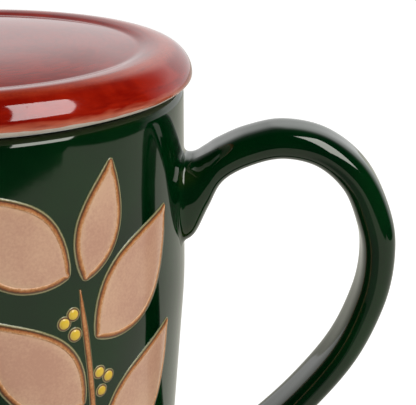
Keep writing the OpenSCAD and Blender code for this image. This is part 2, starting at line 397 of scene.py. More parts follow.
# %% The turning tree
# the wobble's depth in mm, and the value of its noise that stays on the drawn outline
POT_WOBBLE, WOBBLE_TOP = 0.1, 0.8
# the value of `bare`, in mm, that stands for glaze all over
FULL_COAT = 9.0


def new_tree(name, inputs):
    """A tree with a Geometry input and output, the inputs given as (name, kind), and a Material.

    Also returns the function that adds nodes to it, and the outputs of its input node."""
    tree = bpy.data.node_groups.new(name, "GeometryNodeTree")
    face = tree.interface
    face.new_socket("Geometry", in_out="INPUT", socket_type="NodeSocketGeometry")
    face.new_socket("Geometry", in_out="OUTPUT", socket_type="NodeSocketGeometry")
    for label, kind in inputs + [("Material", "Material")]:
        face.new_socket(label, in_out="INPUT", socket_type="NodeSocket" + kind)
    add = partial(add_node, tree)
    return tree, add, add("NodeGroupInput").outputs


def end_tree(geometry, material, smooth=True):
    """Every tree ends the same way: smooth shading, instances made real, one material, the output."""
    add = partial(add_node, geometry.id_data)
    if smooth:
        geometry = add("SetShadeSmooth", geometry)
    real = add("RealizeInstances", geometry)
    dressed = add("SetMaterial", {"Geometry": real, "Material": material})
    add("NodeGroupOutput", dressed)


def inward_wobble(place):
    """Soft noise, 25 mm from crest to crest. It is never positive, so that it only moves inwards."""
    soft = add_node(place.id_data, "TexNoise", {"Vector": place, "Scale": 40, "Detail": 1})
    return add_node(place.id_data, "Math SUBTRACT", soft, WOBBLE_TOP)


def turning_tree():
    tree, add, given = new_tree("turned_form", [("Steps", "Int"), ("Wobble", "Float")])
    outline = given["Geometry"]
    size = add("AttributeDomainSize", outline, component="MESH").outputs["Point Count"]
    columns = add("Math ADD", given["Steps"], 1)
    grid = add("MeshGrid", {"Vertices X": columns, "Vertices Y": size})
    index = add("InputIndex")
    half_on = add("Math ADD", index, 0.5)
    share = add("Math DIVIDE", half_on, size)
    column = add("Math FLOOR", share)
    before = add("Math MULTIPLY", column, size)
    row = add("Math SUBTRACT", index, before)
    position = add("InputPosition")
    from_outline = add("SampleIndex", {0: outline, "Value": position, "Index": row},
                       data_type="FLOAT_VECTOR")
    turn = add("Math DIVIDE", column, given["Steps"])
    angle = add("Math MULTIPLY", turn, math.tau)
    turned = add("VectorRotate", {"Vector": from_outline, "Angle": angle}, rotation_type="Z_AXIS")
    shape = add("SetPosition", {"Geometry": grid, "Position": turned})
    for label in ("thin", "bare"):
        value = add("InputNamedAttribute", {"Name": label})
        copied = add("SampleIndex", {0: outline, "Value": value, "Index": row})
        shape = add("StoreNamedAttribute", {0: shape, "Name": label, "Value": copied})
    closed = add("MergeByDistance", {0: shape, "Distance": 1e-6})
    reach = add("Math MULTIPLY", inward_wobble(position), given["Wobble"])
    normal = add("InputNormal")
    move = add("VectorMath SCALE", {0: normal, "Scale": reach})
    alive = add("SetPosition", {"Geometry": closed, "Offset": move})
    end_tree(alive, given["Material"])
    return tree


turned_form = turning_tree()


def apply_modifiers(piece):
    """Keeps what the piece's modifiers make of it as its plain mesh."""
    graph = bpy.context.evaluated_depsgraph_get()
    mesh = bpy.data.meshes.new_from_object(piece.evaluated_get(graph), preserve_all_data_layers=True,
                                           depsgraph=graph)
    mesh.name = piece.name
    piece.modifiers.clear()
    piece.data = mesh
    return piece


def run_tree(piece, tree, values):
    """Runs the tree on the piece with its named inputs set, and keeps the result."""
    modifier = piece.modifiers.new(tree.name, "NODES")
    modifier.node_group = tree
    for item in tree.interface.items_tree:
        if item.in_out == "INPUT" and item.name in values:
            modifier[item.identifier] = values[item.name]
    return apply_modifiers(piece)


def new_piece(name, points, faces=(), edges=(), numbers=None):
    """A mesh object made of points in millimetres. numbers maps an attribute's name to its values."""
    mesh = bpy.data.meshes.new(name)
    mesh.from_pydata([tuple(float(v) * MM for v in p) for p in points], edges, faces)
    for label, values in (numbers or {}).items():
        attribute = mesh.attributes.new(label, "FLOAT", "POINT")
        attribute.data.foreach_set("value", np.asarray(values, np.float32))
    piece = bpy.data.objects.new(name, mesh)
    bpy.context.scene.collection.objects.link(piece)
    return piece


def grid_faces(rows, columns):
    """Quads between the points of a grid that is stored row by row."""
    return [(i, i + 1, i + columns + 1, i + columns)
            for r in range(rows - 1) for i in range(r * columns, (r + 1) * columns - 1)]


def ring_faces(rings, sides):
    """Quads between closed rings of points, one ring stored after another."""
    return [(i + k, i + k + sides, i + (k + 1) % sides + sides, i + (k + 1) % sides)
            for i in range(0, (rings - 1) * sides, sides) for k in range(sides)]


def turn(name, outline, material, thin=None, bare=None, steps=240, wobble=POT_WOBBLE):
    """Turns an outline of (radius, height) points in millimetres into a closed piece."""
    numbers = {"thin": np.zeros(len(outline)) if thin is None else thin,
               "bare": np.full(len(outline), FULL_COAT) if bare is None else bare}
    piece = new_piece(name, [(r, 0, z) for r, z in outline], numbers=numbers)
    run_tree(piece, turned_form, {"Steps": steps, "Wobble": wobble * MM, "Material": material})
    return piece


def report(piece):
    """Prints a piece's triangles and its volume, which is positive when its faces point outwards."""
    piece.data.calc_loop_triangles()
    v = np.empty(len(piece.data.vertices) * 3)
    piece.data.vertices.foreach_get("co", v)
    t = np.empty(len(piece.data.loop_triangles) * 3, int)
    piece.data.loop_triangles.foreach_get("vertices", t)
    a, b, c = v.reshape(-1, 3)[t.reshape(-1, 3)].transpose(1, 0, 2)
    volume = np.einsum("ij,ij->i", a, np.cross(b, c)).sum() / 6 * 1e9
    print(f"{piece.name}: {len(t) // 3} triangles, {volume:.0f} mm3")


# %% [markdown]
# ## The mug body
#
# The cup is one turned form: out under the foot, up the outside, over the flat rim, down the
# inside and across the floor. Glaze pulls away from the two corners of the rim as it melts, so
# `thin` peaks there and an olive line shows. The foot ring was wiped clean before firing, because
# glaze would have stuck it to the kiln shelf.

# %% Mug body
bend_round = taper_blend / 2 / math.tan(taper_angle / 2)
mug_outline = rounded([
    (0, foot_h, 0),
    (foot_r - foot_w, foot_h, 1.0),
    (foot_r - foot_w, 0, 0.9),
    (foot_r, 0, 0.9),
    (foot_r, foot_h, 1.0),
    (float(wall_r(foot_h)), foot_h, base_round),
    (mug_r, taper_z, bend_round),
    (mug_r, mug_h, rim_round),
    (mug_r - mug_wall, mug_h, rim_round),
    (mug_r - mug_wall, taper_z, bend_round),
    (float(wall_r(floor_z)) - mug_wall, floor_z, cavity_round),
    (0, floor_z, 0)])
along = lengths_along(mug_outline)
heights = np.array([z for _, z in mug_outline])
radii = np.array([r for r, _ in mug_outline])
# the glaze stops 1.2 mm above the shelf, on both sides of the foot ring
glaze_stop = 1.2
on_foot = np.nonzero(heights < glaze_stop)[0]
mug_bare = np.maximum(along[on_foot[0]] - along, along - along[on_foot[-1]])
rim_corners = [along[np.argmin((radii - x) ** 2 + (heights - mug_h) ** 2)]
               for x in (mug_r - 0.4 * rim_round, mug_r - mug_wall + 0.4 * rim_round)]
mug_thin = sum(np.exp(-((along - corner) / 1.0) ** 2) for corner in rim_corners) * 0.7
mug = turn("mug", mug_outline, green_glaze, mug_thin, mug_bare)
report(mug)

# %% [markdown]
# ## The handle
#
# The handle is a strap, pulled or pressed, bent into a loop and luted to the wall with slip. The
# loop has no simple formula, so its middle line goes through a short list of stations, the same
# as in the CAD model, joined by a smooth curve. At each point of it stands the same section: flat
# on its inner and outer faces, which mirror wide even areas, and round on its narrow edges, which
# squeezes the whole room into long thin lights.
#
# A plain sweep would stab into the wall. A real joint is smoothed with wet clay, so the last
# millimetre of each lengthwise line bends outwards along the wall. Its width varies a little
# round the root, as a finger leaves it.

# %% Handle
handle_reach, handle_drop, handle_span = 42.8, 10.9, 73.8
strap_t, strap_w, root_flare, root_sink = 7.1, 14.4, 3.0, 1.4
# powers of the section |out|^2 + |across|^4 = 1: round narrow edges, flat broad faces
edge_power, face_power = 2.0, 4.0
strap_sides, strap_rows, root_rows = 72, 170, 9
# share of the reach, share of the span, direction of the thickness in degrees, thickness in
# strap_t, and share of the root's flare
stations = np.array([
    (0.000, 0.835, 90, 2.42, 1.00), (0.081, 0.848, 90, 2.18, 0.80), (0.146, 0.896, 93, 1.55, 0.45),
    (0.213, 0.943, 97, 1.02, 0.20), (0.349, 0.981, 98, 0.91, 0.05), (0.524, 1.000, 90, 0.91, 0.00),
    (0.718, 0.974, 69, 0.94, 0.00), (0.881, 0.895, 43, 0.98, 0.00), (0.975, 0.779, 17, 1.00, 0.00),
    (1.000, 0.679, 0, 0.94, 0.00), (0.971, 0.547, -16, 0.89, 0.00), (0.875, 0.398, -31, 0.85, 0.00),
    (0.708, 0.261, -40, 0.83, 0.00), (0.501, 0.136, -46, 0.81, 0.00), (0.303, 0.043, -57, 0.90, 0.10),
    (0.145, 0.003, -75, 1.37, 0.45), (0.000, 0.000, -90 - math.degrees(taper_angle), 1.94, 1.00)])
last_station = len(stations) - 1


def signed_power(value, power):
    return np.sign(value) * np.abs(value) ** power


def strap_point(at, side):
    """Points of the strap's skin: at runs from 0 to the last station, side is an angle round it."""
    i = np.minimum(at.astype(int), last_station - 1)
    t = (at - i)[..., None]
    a, b, c, d = (stations[np.clip(i + k, 0, last_station)] for k in (-1, 0, 1, 2))
    s = b + t * ((c - a) / 2 + t * (a - 2.5 * b + 2 * c - d / 2 + t * (1.5 * (b - c) + (d - a) / 2)))
    z = mug_h - handle_drop - handle_span * (1 - s[..., 1])
    x = wall_r(z) - root_sink + (handle_reach - strap_t / 2 + root_sink) * s[..., 0]
    out = strap_t * s[..., 3] / 2 * signed_power(np.cos(side), 2 / edge_power)
    across = (strap_w + root_flare * s[..., 4]) / 2 * signed_power(np.sin(side), 2 / face_power)
    lean = np.radians(s[..., 2])
    return np.stack([x + out * np.cos(lean), across, z + out * np.sin(lean)], -1)


def off_wall(p):
    """Distance of points from the mug's wall, measured straight out from its axis."""
    return np.hypot(p[..., 0], p[..., 1]) - wall_r(p[..., 2])


def meets(ats, side, gap):
    """The place along the strap where its skin at this side is at the given gap from the wall."""
    clear = off_wall(strap_point(ats, np.full(ats.shape, side))) - gap
    k = np.nonzero(clear > 0)[0][0]
    share = clear[k] / (clear[k] - clear[k - 1]) if k else 0.0
    return ats[k] + (ats[k - 1] - ats[k]) * share if k else ats[0]


def on_wall(p):
    """The point of the wall at the same angle and height as p."""
    r = wall_r(p[2]) / math.hypot(p[0], p[1])
    return np.array([p[0] * r, p[1] * r, p[2]])


# angles that put the points at even distances round the section
fine = np.linspace(0, math.tau, 2001)
walk = lengths_along(list(zip(strap_t / 2 * signed_power(np.cos(fine), 2 / edge_power),
                              strap_w / 2 * signed_power(np.sin(fine), 2 / face_power))))
sides = np.interp(np.arange(strap_sides) / strap_sides * walk[-1], walk, fine)
finger_widths = 1.25 + 0.3 * np.sin(3 * sides + 1.0) + 0.2 * np.sin(7 * sides + 2.0)
top_search = np.linspace(0, 5, 1200)
low_search = last_station - np.linspace(0, 5, 1200)
columns = []
for side, finger in zip(sides, finger_widths):
    ends = []
    for search in (top_search, low_search):
        start = meets(search, side, finger)
        touch = strap_point(np.array([meets(search, side, 0.0)]), np.array([side]))[0]
        middle = strap_point(np.array([search[0], search[0]]), np.array([0, math.pi])).mean(0)
        away = on_wall(touch) - on_wall(middle)
        away /= np.linalg.norm(away)
        foot = on_wall(on_wall(touch) + away * finger)
        leave = strap_point(np.array([start]), np.array([side]))[0]
        t = np.arange(1, root_rows + 1)[:, None] / root_rows
        root = (1 - t) ** 2 * leave + 2 * t * (1 - t) * touch + t * t * foot
        # the last point lies about 0.3 mm under the wall's surface
        under = on_wall(foot + away * 0.5) * (0.992, 0.992, 1)
        ends.append((start, np.vstack([root, under])))
    (first, top_rows), (final, low_rows) = ends
    ats = np.linspace(first, final, strap_rows)
    middle_rows = strap_point(ats, np.full(strap_rows, side))
    columns.append(np.concatenate([top_rows[::-1], middle_rows, low_rows]))
skin = np.array(columns)
rows_all = skin.shape[1]
ids = np.arange(strap_sides * rows_all)
# the last lengthwise line joins the first again, and the two ends inside the wall are closed
faces = [ids[np.array(face) % len(ids)].tolist() for face in grid_faces(strap_sides + 1, rows_all)]
faces += [ids[::rows_all].tolist(), ids[rows_all - 1::rows_all][::-1].tolist()]
# thin glaze along the four tight corners, and more of it near the roots
tight = np.abs(np.sin(2 * sides))[:, None] ** 6
near_root = np.exp(-np.maximum(0, off_wall(skin)) / 4.0)
handle_thin = np.clip(0.05 * tight + 0.65 * tight * near_root, 0, 1)
handle_skin = new_piece("strap_handle", skin.reshape(-1, 3), faces,
                        numbers={"thin": handle_thin.ravel(), "bare": np.full(len(ids), FULL_COAT)})
handle_skin.data.materials.append(green_glaze)
handle_skin.data.shade_smooth()
report(handle_skin)

# %% [markdown]
# ## Wrapping a drawing on the wall
#
# The decoration is drawn flat, as a potter plans it on paper: x runs round the mug, y is the
# height above the table and z stands out from the wall. A Geometry Nodes tree then wraps it on
# the wall. It works out the wall's radius at each height, with the same upright part, soft bend
# and taper, and adds the same wobble, so that the drawing never floats or sinks in.

# %% The wrapping tree
def wrapping_tree():
    labels = ("Radius", "Taper Height", "Taper Blend", "Taper Slope", "Wobble")
    tree, add, given = new_tree("wrapped_on_wall", [(label, "Float") for label in labels])
    place = add("InputPosition")
    flat = add("SeparateXYZ", place).outputs
    # the wall's radius at this height
    start = add("Math MULTIPLY_ADD", given["Taper Blend"], 0.5, given["Taper Height"])
    down = add("Math SUBTRACT", start, flat[1])
    below = add("Math MAXIMUM", down, 0.0)
    in_bend = add("Math MINIMUM", below, given["Taper Blend"])
    past = add("Math SUBTRACT", below, in_bend)
    square = add("Math MULTIPLY", in_bend, in_bend)
    curve = add("Math DIVIDE", square, given["Taper Blend"])
    drop = add("Math MULTIPLY_ADD", curve, 0.5, past)
    inset = add("Math MULTIPLY", drop, given["Taper Slope"])
    # inset - radius is minus the wall's radius, which points the spoke to the mug's front
    front = add("Math SUBTRACT", inset, given["Radius"])
    turn = add("Math DIVIDE", flat[0], given["Radius"])
    spoke = add("CombineXYZ", {1: front, 2: flat[1]})
    on_wall = add("VectorRotate", {"Vector": spoke, "Angle": turn}, rotation_type="Z_AXIS")
    # the same wobble as the wall's, and the drawing's own height
    lift = add("Math MULTIPLY_ADD", inward_wobble(on_wall), given["Wobble"], flat[2])
    outward = add("VectorRotate", {"Vector": (0, -1, 0), "Angle": turn}, rotation_type="Z_AXIS")
    move = add("VectorMath SCALE", {0: outward, "Scale": lift})
    final = add("VectorMath ADD", on_wall, move)
    wrapped = add("SetPosition", {"Geometry": given["Geometry"], "Position": final})
    end_tree(wrapped, given["Material"])
    return tree


wrapped_on_wall = wrapping_tree()


class Drawing:
    """Collects flat shapes in millimetres and the numbers their material reads."""

    def __init__(self):
        self.points, self.faces, self.numbers = [], [], {}

    def put(self, points, faces, **numbers):
        start = sum(len(p) for p in self.points)
        self.points.append(np.asarray(points, float))
        self.faces += [[start + i for i in face] for face in faces]
        for label, values in numbers.items():
            self.numbers.setdefault(label, []).append(np.ravel(values))

    def wrap(self, name, material):
        piece = new_piece(name, np.concatenate(self.points), self.faces,
                          numbers={label: np.concatenate(v) for label, v in self.numbers.items()})
        return run_tree(piece, wrapped_on_wall, {
            "Radius": mug_r * MM, "Taper Height": taper_z * MM, "Taper Blend": taper_blend * MM,
            "Taper Slope": math.tan(taper_angle), "Wobble": POT_WOBBLE * MM, "Material": material})


print("one millimetre on the wall turns", round(math.degrees(1 / mug_r), 2), "degrees")

# %% [markdown]
# ## Leaves and lines
#
# A leaf is a pool of thick pink glaze, so it stands 0.3 mm proud and rounds off at its edge. Its
# shape follows two rules: a middle line that bends evenly, and a half width that grows and falls
# like a stretched sine wave. The brown line round it is a ribbon on the leaf's edge. It is wider
# on its outer side, and its cross-section is closed, so that each shape is a solid.

# %% Shapes of the decoration
# how deep the shapes reach into the wall, and how wide a line is, in all and on the leaf
UNDER = -0.12
line_w, line_inside = 1.45, 0.75


def leaf_shape(base, heading, length, width, bend, rows=34):
    """Middle line, its normals and the half widths of a leaf that grows from base."""
    s = 0.5 * (1 - np.cos(np.linspace(0.12, math.pi - 0.08, rows)))
    angle = math.radians(heading) + math.radians(bend) * (s - 0.5)
    ahead = np.stack([np.cos(angle), np.sin(angle)], 1)
    steps = np.diff(s, prepend=0)[:, None] * length
    middle = np.asarray(base, float) + np.cumsum(ahead * steps, 0)
    normal = np.stack([-ahead[:, 1], ahead[:, 0]], 1)
    half = width / 2 * np.sin(math.pi * s ** 0.82) ** 0.92
    return middle, normal, half


def put_leaf(drawing, shape, columns=13):
    """Adds the pool of glaze: a domed top, a flat underside and a rim between them."""
    middle, normal, half = shape
    rows = len(half)
    t = np.sin(np.linspace(-math.pi / 2, math.pi / 2, columns))
    flat = middle[:, None] - normal[:, None] * (half[:, None] * t)[..., None]
    from_edge = half[:, None] * (1 - np.abs(t))
    # 0.03 mm proud at the edge and 0.3 mm within, rounded off over 0.5 mm
    top = 0.03 + 0.27 * (1 - np.exp(-from_edge / 0.5))
    points = np.concatenate([np.dstack([flat, z]).reshape(-1, 3) for z in (top, np.full(top.shape, UNDER))])
    lower = rows * columns
    faces = grid_faces(rows, columns)
    faces += [[i + lower for i in face[::-1]] for face in faces]
    ids = np.arange(lower).reshape(rows, columns)
    rim = np.concatenate([ids[0], ids[1:, -1], ids[-1, -2::-1], ids[-2:0:-1, 0]]).tolist()
    faces += [(a, a + lower, b + lower, b) for a, b in zip(rim, rim[1:] + rim[:1])]
    edge = np.exp(-from_edge / 0.9)
    drawing.put(points, faces, thin=np.concatenate([edge, edge]), bare=np.full(len(points), FULL_COAT))


def put_ribbon(drawing, path, normal, inner, outer, lays, heights, closed):
    """Adds a closed ribbon. inner and outer are its reaches on both sides of the path.

    lays and heights give the number `lay` and the height in mm at even steps across it."""
    count, across = len(path), len(lays)
    share = np.linspace(0, 1, across)
    offset = -inner[:, None] + (inner + outer)[:, None] * share
    flat = path[:, None] + normal[:, None] * offset[..., None]
    size = np.clip((inner + outer) / 0.6, 0, 1)[:, None]
    top = np.concatenate([flat, (np.asarray(heights) * size)[..., None]], 2)
    lower = np.concatenate([flat[:, ::-1][:, [0, -1]], np.full((count, 2, 1), UNDER)], 2)
    points = np.concatenate([top, lower], 1)
    sides = across + 2
    if closed:
        faces = [[i % (count * sides) for i in face] for face in ring_faces(count + 1, sides)]
    else:
        faces = ring_faces(count, sides)
        faces += [range(sides), range(count * sides - 1, (count - 1) * sides - 1, -1)]
    values = np.tile(np.r_[lays, lays[-1], lays[0]], (count, 1))
    drawing.put(points.reshape(-1, 3), faces, lay=values)


def left_of(path):
    """Unit normals on the left of a flat path."""
    along = np.gradient(path, axis=0)
    return np.stack([-along[:, 1], along[:, 0]], 1) / np.linalg.norm(along, axis=1)[:, None]


def put_leaf_line(drawing, shape):
    """Adds the line round a leaf: up one side, round the tip, down the other and round the base."""
    middle, normal, half = shape
    edges = [(middle + side * normal * half[:, None])[::side] for side in (1, -1)]
    outs = [left_of(edge) for edge in edges]
    share = np.arange(1, 5)[:, None] / 5
    path, out, inner = [], [], []
    for i in (0, 1):
        # the line turns from the end of this side to the start of the other in five steps
        last, first = edges[i][-1], edges[1 - i][0]
        start, end = (math.atan2(v[1], v[0]) for v in (outs[i][-1], outs[1 - i][0]))
        turns = start + (end - start) % -math.tau * share
        path += [edges[i], last + (first - last) * share]
        out += [outs[i], np.hstack([np.cos(turns), np.sin(turns)])]
        inner += [np.minimum(line_inside, half[::1 - 2 * i] * 0.95), np.full(len(share), 0.03)]
    inner = np.concatenate(inner)
    put_ribbon(drawing, np.concatenate(path), np.concatenate(out), inner,
               np.full(len(inner), line_w - line_inside), [0, 0.25, 0.5, 0.72, 0.86, 1],
               [0.26, 0.3, 0.22, 0.16, 0.12, 0.02], closed=True)


def put_stroke(drawing, path, widest):
    """Adds a brush stroke along a path, which thins out towards both ends."""
    path = np.asarray(path, float)
    s = np.linspace(0, 1, len(path))
    half = widest / 2 * np.clip(np.minimum(s, 1 - s) / 0.12, 0.08, 1) ** 0.5
    put_ribbon(drawing, path, left_of(path), half, half, [1, 0.7, 0.35, 0.3, 0.35, 0.7, 1],
               [0.02, 0.15, 0.22, 0.24, 0.22, 0.15, 0.02], closed=False)


def put_berry(drawing, lines, middle, radius, sides=20, rings=5):
    """Adds a dome of yellow glaze and the thin line round it."""
    turns = np.linspace(0, math.tau, sides, endpoint=False)
    spoke = np.stack([np.cos(turns), np.sin(turns)], 1)
    points, thin = [], []
    for ring in range(rings):
        a = math.pi / 2 * ring / rings
        points.append(np.column_stack([middle + spoke * radius * math.cos(a),
                                       np.full(sides, 0.05 + 0.45 * math.sin(a))]))
        thin.append(np.full(sides, 0.8 * math.cos(a) ** 6))
    points.append([[*middle, 0.5]])
    points.append(np.column_stack([middle + spoke * radius, np.full(sides, UNDER)]))
    thin += [np.zeros(1), np.full(sides, 0.8)]
    top, low = rings * sides, rings * sides + 1
    # the rings lie inside each other, so their quads are turned over to face outwards
    faces = [(a, d, c, b) for a, b, c, d in ring_faces(rings, sides)]
    for k in range(sides):
        n = (k + 1) % sides
        faces += [(top - sides + k, top - sides + n, top), (low + k, low + n, n, k)]
    faces.append(range(low + sides - 1, low - 1, -1))
    points, thin = np.concatenate(points), np.concatenate(thin)
    drawing.put(points, faces, thin=thin, bare=np.full(len(points), FULL_COAT))
    put_ribbon(lines, middle + spoke * radius, -spoke, np.full(sides, 0.45), np.full(sides, 0.12),
               [1, 0.85, 0.7, 0.5], [0.02, 0.12, 0.16, 0.14], closed=True)


# %% [markdown]
# ## Five sprays
#
# Five leafy sprays stand round the wall, with a clear space for the handle. Every second one is
# mirrored. The angles and lengths vary a little, from a fixed seed, as they do when a hand draws
# them. The berries sit in threes in the forks.

# %% Decoration
brush = random.Random(11)
petals, lines, berries = Drawing(), Drawing(), Drawing()
# where the sprays stand, in degrees round the wall, and heights in mm above the table
spray_turns = (38, 142, 206, 270, 334)
stem_low, stem_top, tip_z, fork_step, forks = 12, 76, 78, 13, 6
stem_w, leaf_w, leaf_bend, berry_r = 1.5, 14.2, 16, 1.05
# the stem sways by 0.8 of a wave in 80 mm
wave_low, wave_h, waves = 14, 80, 0.8
# the three berries in a fork: how far from the stem, and how far above the fork
cluster = ((2.2, 2.6), (4.0, 5.2), (2.0, 6.6))


def put_spray(turned_by, side):
    """Adds a stem with its leaves, left and right in turn, and the berries in its forks."""
    middle_u = math.radians(turned_by) * mug_r
    sway = brush.uniform(1.6, 2.4)

    def stem_at(z):
        return middle_u + side * sway * math.sin((z - wave_low) / wave_h * math.tau * waves)

    def put_both(*leaf):
        shape = leaf_shape(*leaf)
        put_leaf(petals, shape)
        put_leaf_line(lines, shape)

    put_stroke(lines, [(stem_at(z), z) for z in np.linspace(stem_low, stem_top, 44)], stem_w)
    for k in range(forks):
        z = fork_step * (k + 1)
        lean = side * (1 if k % 2 == 0 else -1)
        # the topmost side leaf is shorter and leans out more, to leave room for the tip
        tilt, length = (47, 25) if k == forks - 1 else (44, 28)
        tilt += brush.uniform(-2.5, 2.5)
        put_both((stem_at(z) + lean * 2.3, z + 1.2), 90 - lean * tilt, length + brush.uniform(-1.2, 1.2),
                 leaf_w + brush.uniform(-0.6, 0.6), lean * (leaf_bend + brush.uniform(-5, 5)))
        if k < forks - 1:
            for away, up in cluster:
                put_berry(berries, lines, np.array([stem_at(z + up) - lean * away, z + up]),
                          berry_r + brush.uniform(-0.1, 0.1))
    put_both((stem_at(stem_top) + side * 1.2, tip_z), 90 - side * 17, 21.5, 9, side * 12)


for number, turned_by in enumerate(spray_turns):
    put_spray(turned_by, 1 if number % 2 == 0 else -1)
petals = petals.wrap("pink_leaves", pink_glaze)
lines = lines.wrap("brown_lines", line_material)
berries = berries.wrap("yellow_berries", yellow_glaze)
for piece in (petals, lines, berries):
    report(piece)

# %% [markdown]
# ## The lid
#
# The lid is pressed in a mould: a low dome, a soft step up to a crest ring, and a broad rolled
# edge. Underneath, a ring drops into the basket's collar, so that the lid can't slide off. The
# flat underside and the ring are bare clay. Above them the red glaze starts as a pale orange
# band, because it runs thin there, and it runs thin again over the crest.

# %% Lid
dome_r = crest_r - crest_step_w
ring_r = collar_r - locator_gap
hollow_r = ring_r - ring_t
flat_r = lid_r - lid_edge_w


def lid_top(r):
    """Height of the lid's top inside the crest ring: a dome, then a soft step up to the crest."""
    step = np.clip((crest_r - r) / crest_step_w, 0, 1)
    rise = dome_rise * (1 - np.minimum(r / dome_r, 1) ** 3)
    return lid_crest - crest_step_d * (1 - np.cos(math.pi * step)) / 2 + rise


roof = [(r, float(lid_top(r)) - lid_t) for r in np.linspace(0, hollow_r - ring_round, 18)]
ring = rounded([
    (hollow_r - ring_round - 1, float(lid_top(hollow_r)) - lid_t, 0),
    (hollow_r, float(lid_top(hollow_r)) - lid_t, ring_round),
    (hollow_r, -ring_depth, ring_round),
    (ring_r, -ring_depth, ring_round),
    (ring_r, 0, 0.4),
    (flat_r - 0.5, 0, 0)], step=0.8)
edge = [(flat_r + lid_edge_w * math.sin(a), lid_belly * (1 - math.cos(a)))
        for a in np.linspace(0, math.pi / 2, 28)]
rolled = [(crest_r + (lid_r - crest_r) * math.cos(a), lid_belly + (lid_crest - lid_belly) * math.sin(a))
          for a in np.linspace(0, math.pi / 2, 34)[1:]]
spots = np.linspace(crest_r, 0, 90)[1:]
top = list(zip(spots, lid_top(spots)))
# the hand that smoothed the mould took the crest down a little: a running mean over 5 mm
upper = np.array(rolled + top)
mean_count, mean_step = 67, 0.075
across_r = 45.2 - mean_step * np.arange(120)
heights_r = np.pad(np.interp(across_r, upper[::-1, 0], upper[::-1, 1]), mean_count // 2, "edge")
means = np.convolve(heights_r, np.ones(mean_count) / mean_count, "valid")
near_crest = np.interp(upper[:, 0], across_r[::-1], means[::-1])
ease = np.clip(1.4 - np.abs(upper[:, 0] - crest_r) / 3.0, 0, 1)
upper[:, 1] += (near_crest - upper[:, 1]) * ease * ease * (3 - 2 * ease)
lid_outline = [(r, z + seat_z) for r, z in roof[:-1] + ring[2:] + edge + [tuple(p) for p in upper]]
along = lengths_along(lid_outline)
# how far the glaze stops above the underside outside, and below it on the ring's inside
lid_stop = 1.5
outer_stop = len(roof) - 1 + len(ring) - 2 + int(np.argmin([abs(z - lid_stop) for _, z in edge]))
ring_stop = next(i for i, (r, z) in enumerate(lid_outline) if r > hollow_r - 0.1 and z < seat_z - lid_stop)
lid_bare = np.maximum(along[ring_stop] - along, along - along[outer_stop])
crest_at = along[len(lid_outline) - len(top) - 1]
lid_thin = np.exp(-((along - crest_at + 1.5) / 2.1) ** 2) * 0.65
lid = turn("domed_lid", lid_outline, red_glaze, lid_thin, lid_bare)
report(lid)

# %% [markdown]
# ## The infuser's collar
#
# The collar is pressed from one sheet of steel. It has a flange that lies on the rim, a straight
# neck, a shoulder and a skirt. The outline runs down the front of the sheet and back up behind
# it, so that the turned piece has its real thickness and rolled-over bends.

# %% Collar
bend, cut_edge = 0.5, 0.15
neck_low = seat_z - shoulder_d
flange_mid = (flange_r + collar_r) / 2
collar_outline = rounded([
    (flange_mid, seat_z - sheet_t, 0),
    (flange_r, seat_z - sheet_t, cut_edge),
    (flange_r, seat_z, cut_edge),
    (collar_r, seat_z, bend + sheet_t),
    (collar_r, neck_low, bend),
    (skirt_r, neck_low, bend + sheet_t),
    (skirt_r, skirt_low, cut_edge),
    (skirt_r + sheet_t, skirt_low, cut_edge),
    (skirt_r + sheet_t, neck_low - sheet_t, bend),
    (collar_r + sheet_t, neck_low - sheet_t, bend + sheet_t),
    (collar_r + sheet_t, seat_z - sheet_t, bend),
    (flange_mid, seat_z - sheet_t, 0)], step=2, arc_parts=6)
collar = turn("pressed_collar", collar_outline, pressed_steel, steps=200, wobble=0)
report(collar)

# %% [markdown]
# ## The basket's punched wall
#
# The basket's wall has more than a thousand round holes in staggered rows. Cutting each with a
# boolean would be slow and leave ragged triangles. A punched sheet is a pattern, so one small
# cell of sheet with a hole in it is made once and placed on a grid of points. Every second row
# is moved by half a cell, and the cell's border points are spaced so that the rows still meet
# point to point. The flat sheet is then rolled up: its width becomes the angle.
#
# The holes are 1.5 mm wide and 3 mm apart, as on a fine tea basket. The CAD model has fewer and
# wider ones, to keep its solids light.

# %% The cell and the rolling tree
hole_r, hole_pitch, hole_sides = 0.75, 3.0, 16
hole_margin = 2.0
wall_top, wall_low = skirt_low + lap_h, basket_low + punched_t + 0.3
sheet_r = skirt_r - punched_t / 2
cells_round = round(math.tau * sheet_r / hole_pitch)
cell_w = math.tau * sheet_r / cells_round
holes_low, holes_top = basket_low + lap_h + hole_margin, skirt_low - hole_margin
row_step = hole_pitch * math.sin(math.pi / 3)
cell_rows = round((holes_top - holes_low) / row_step)
cell_h = (holes_top - holes_low) / cell_rows


def punched_cell(w, h):
    """One cell of sheet with a round hole, flat in the XZ plane. Its border has 16 points."""
    walk = [(1, 0), (1, .5), (1, 1), (.5, 1), (0, 1), (-.5, 1), (-1, 1), (-1, .5)]
    walk += [(-x, -z) for x, z in walk]
    turns = [math.tau * k / hole_sides for k in range(hole_sides)]
    hole = [(hole_r * math.cos(a), 0, hole_r * math.sin(a)) for a in turns]
    border = [(x * w / 2, 0, z * h / 2) for x, z in walk]
    return new_piece("cell", hole + border, ring_faces(2, hole_sides))


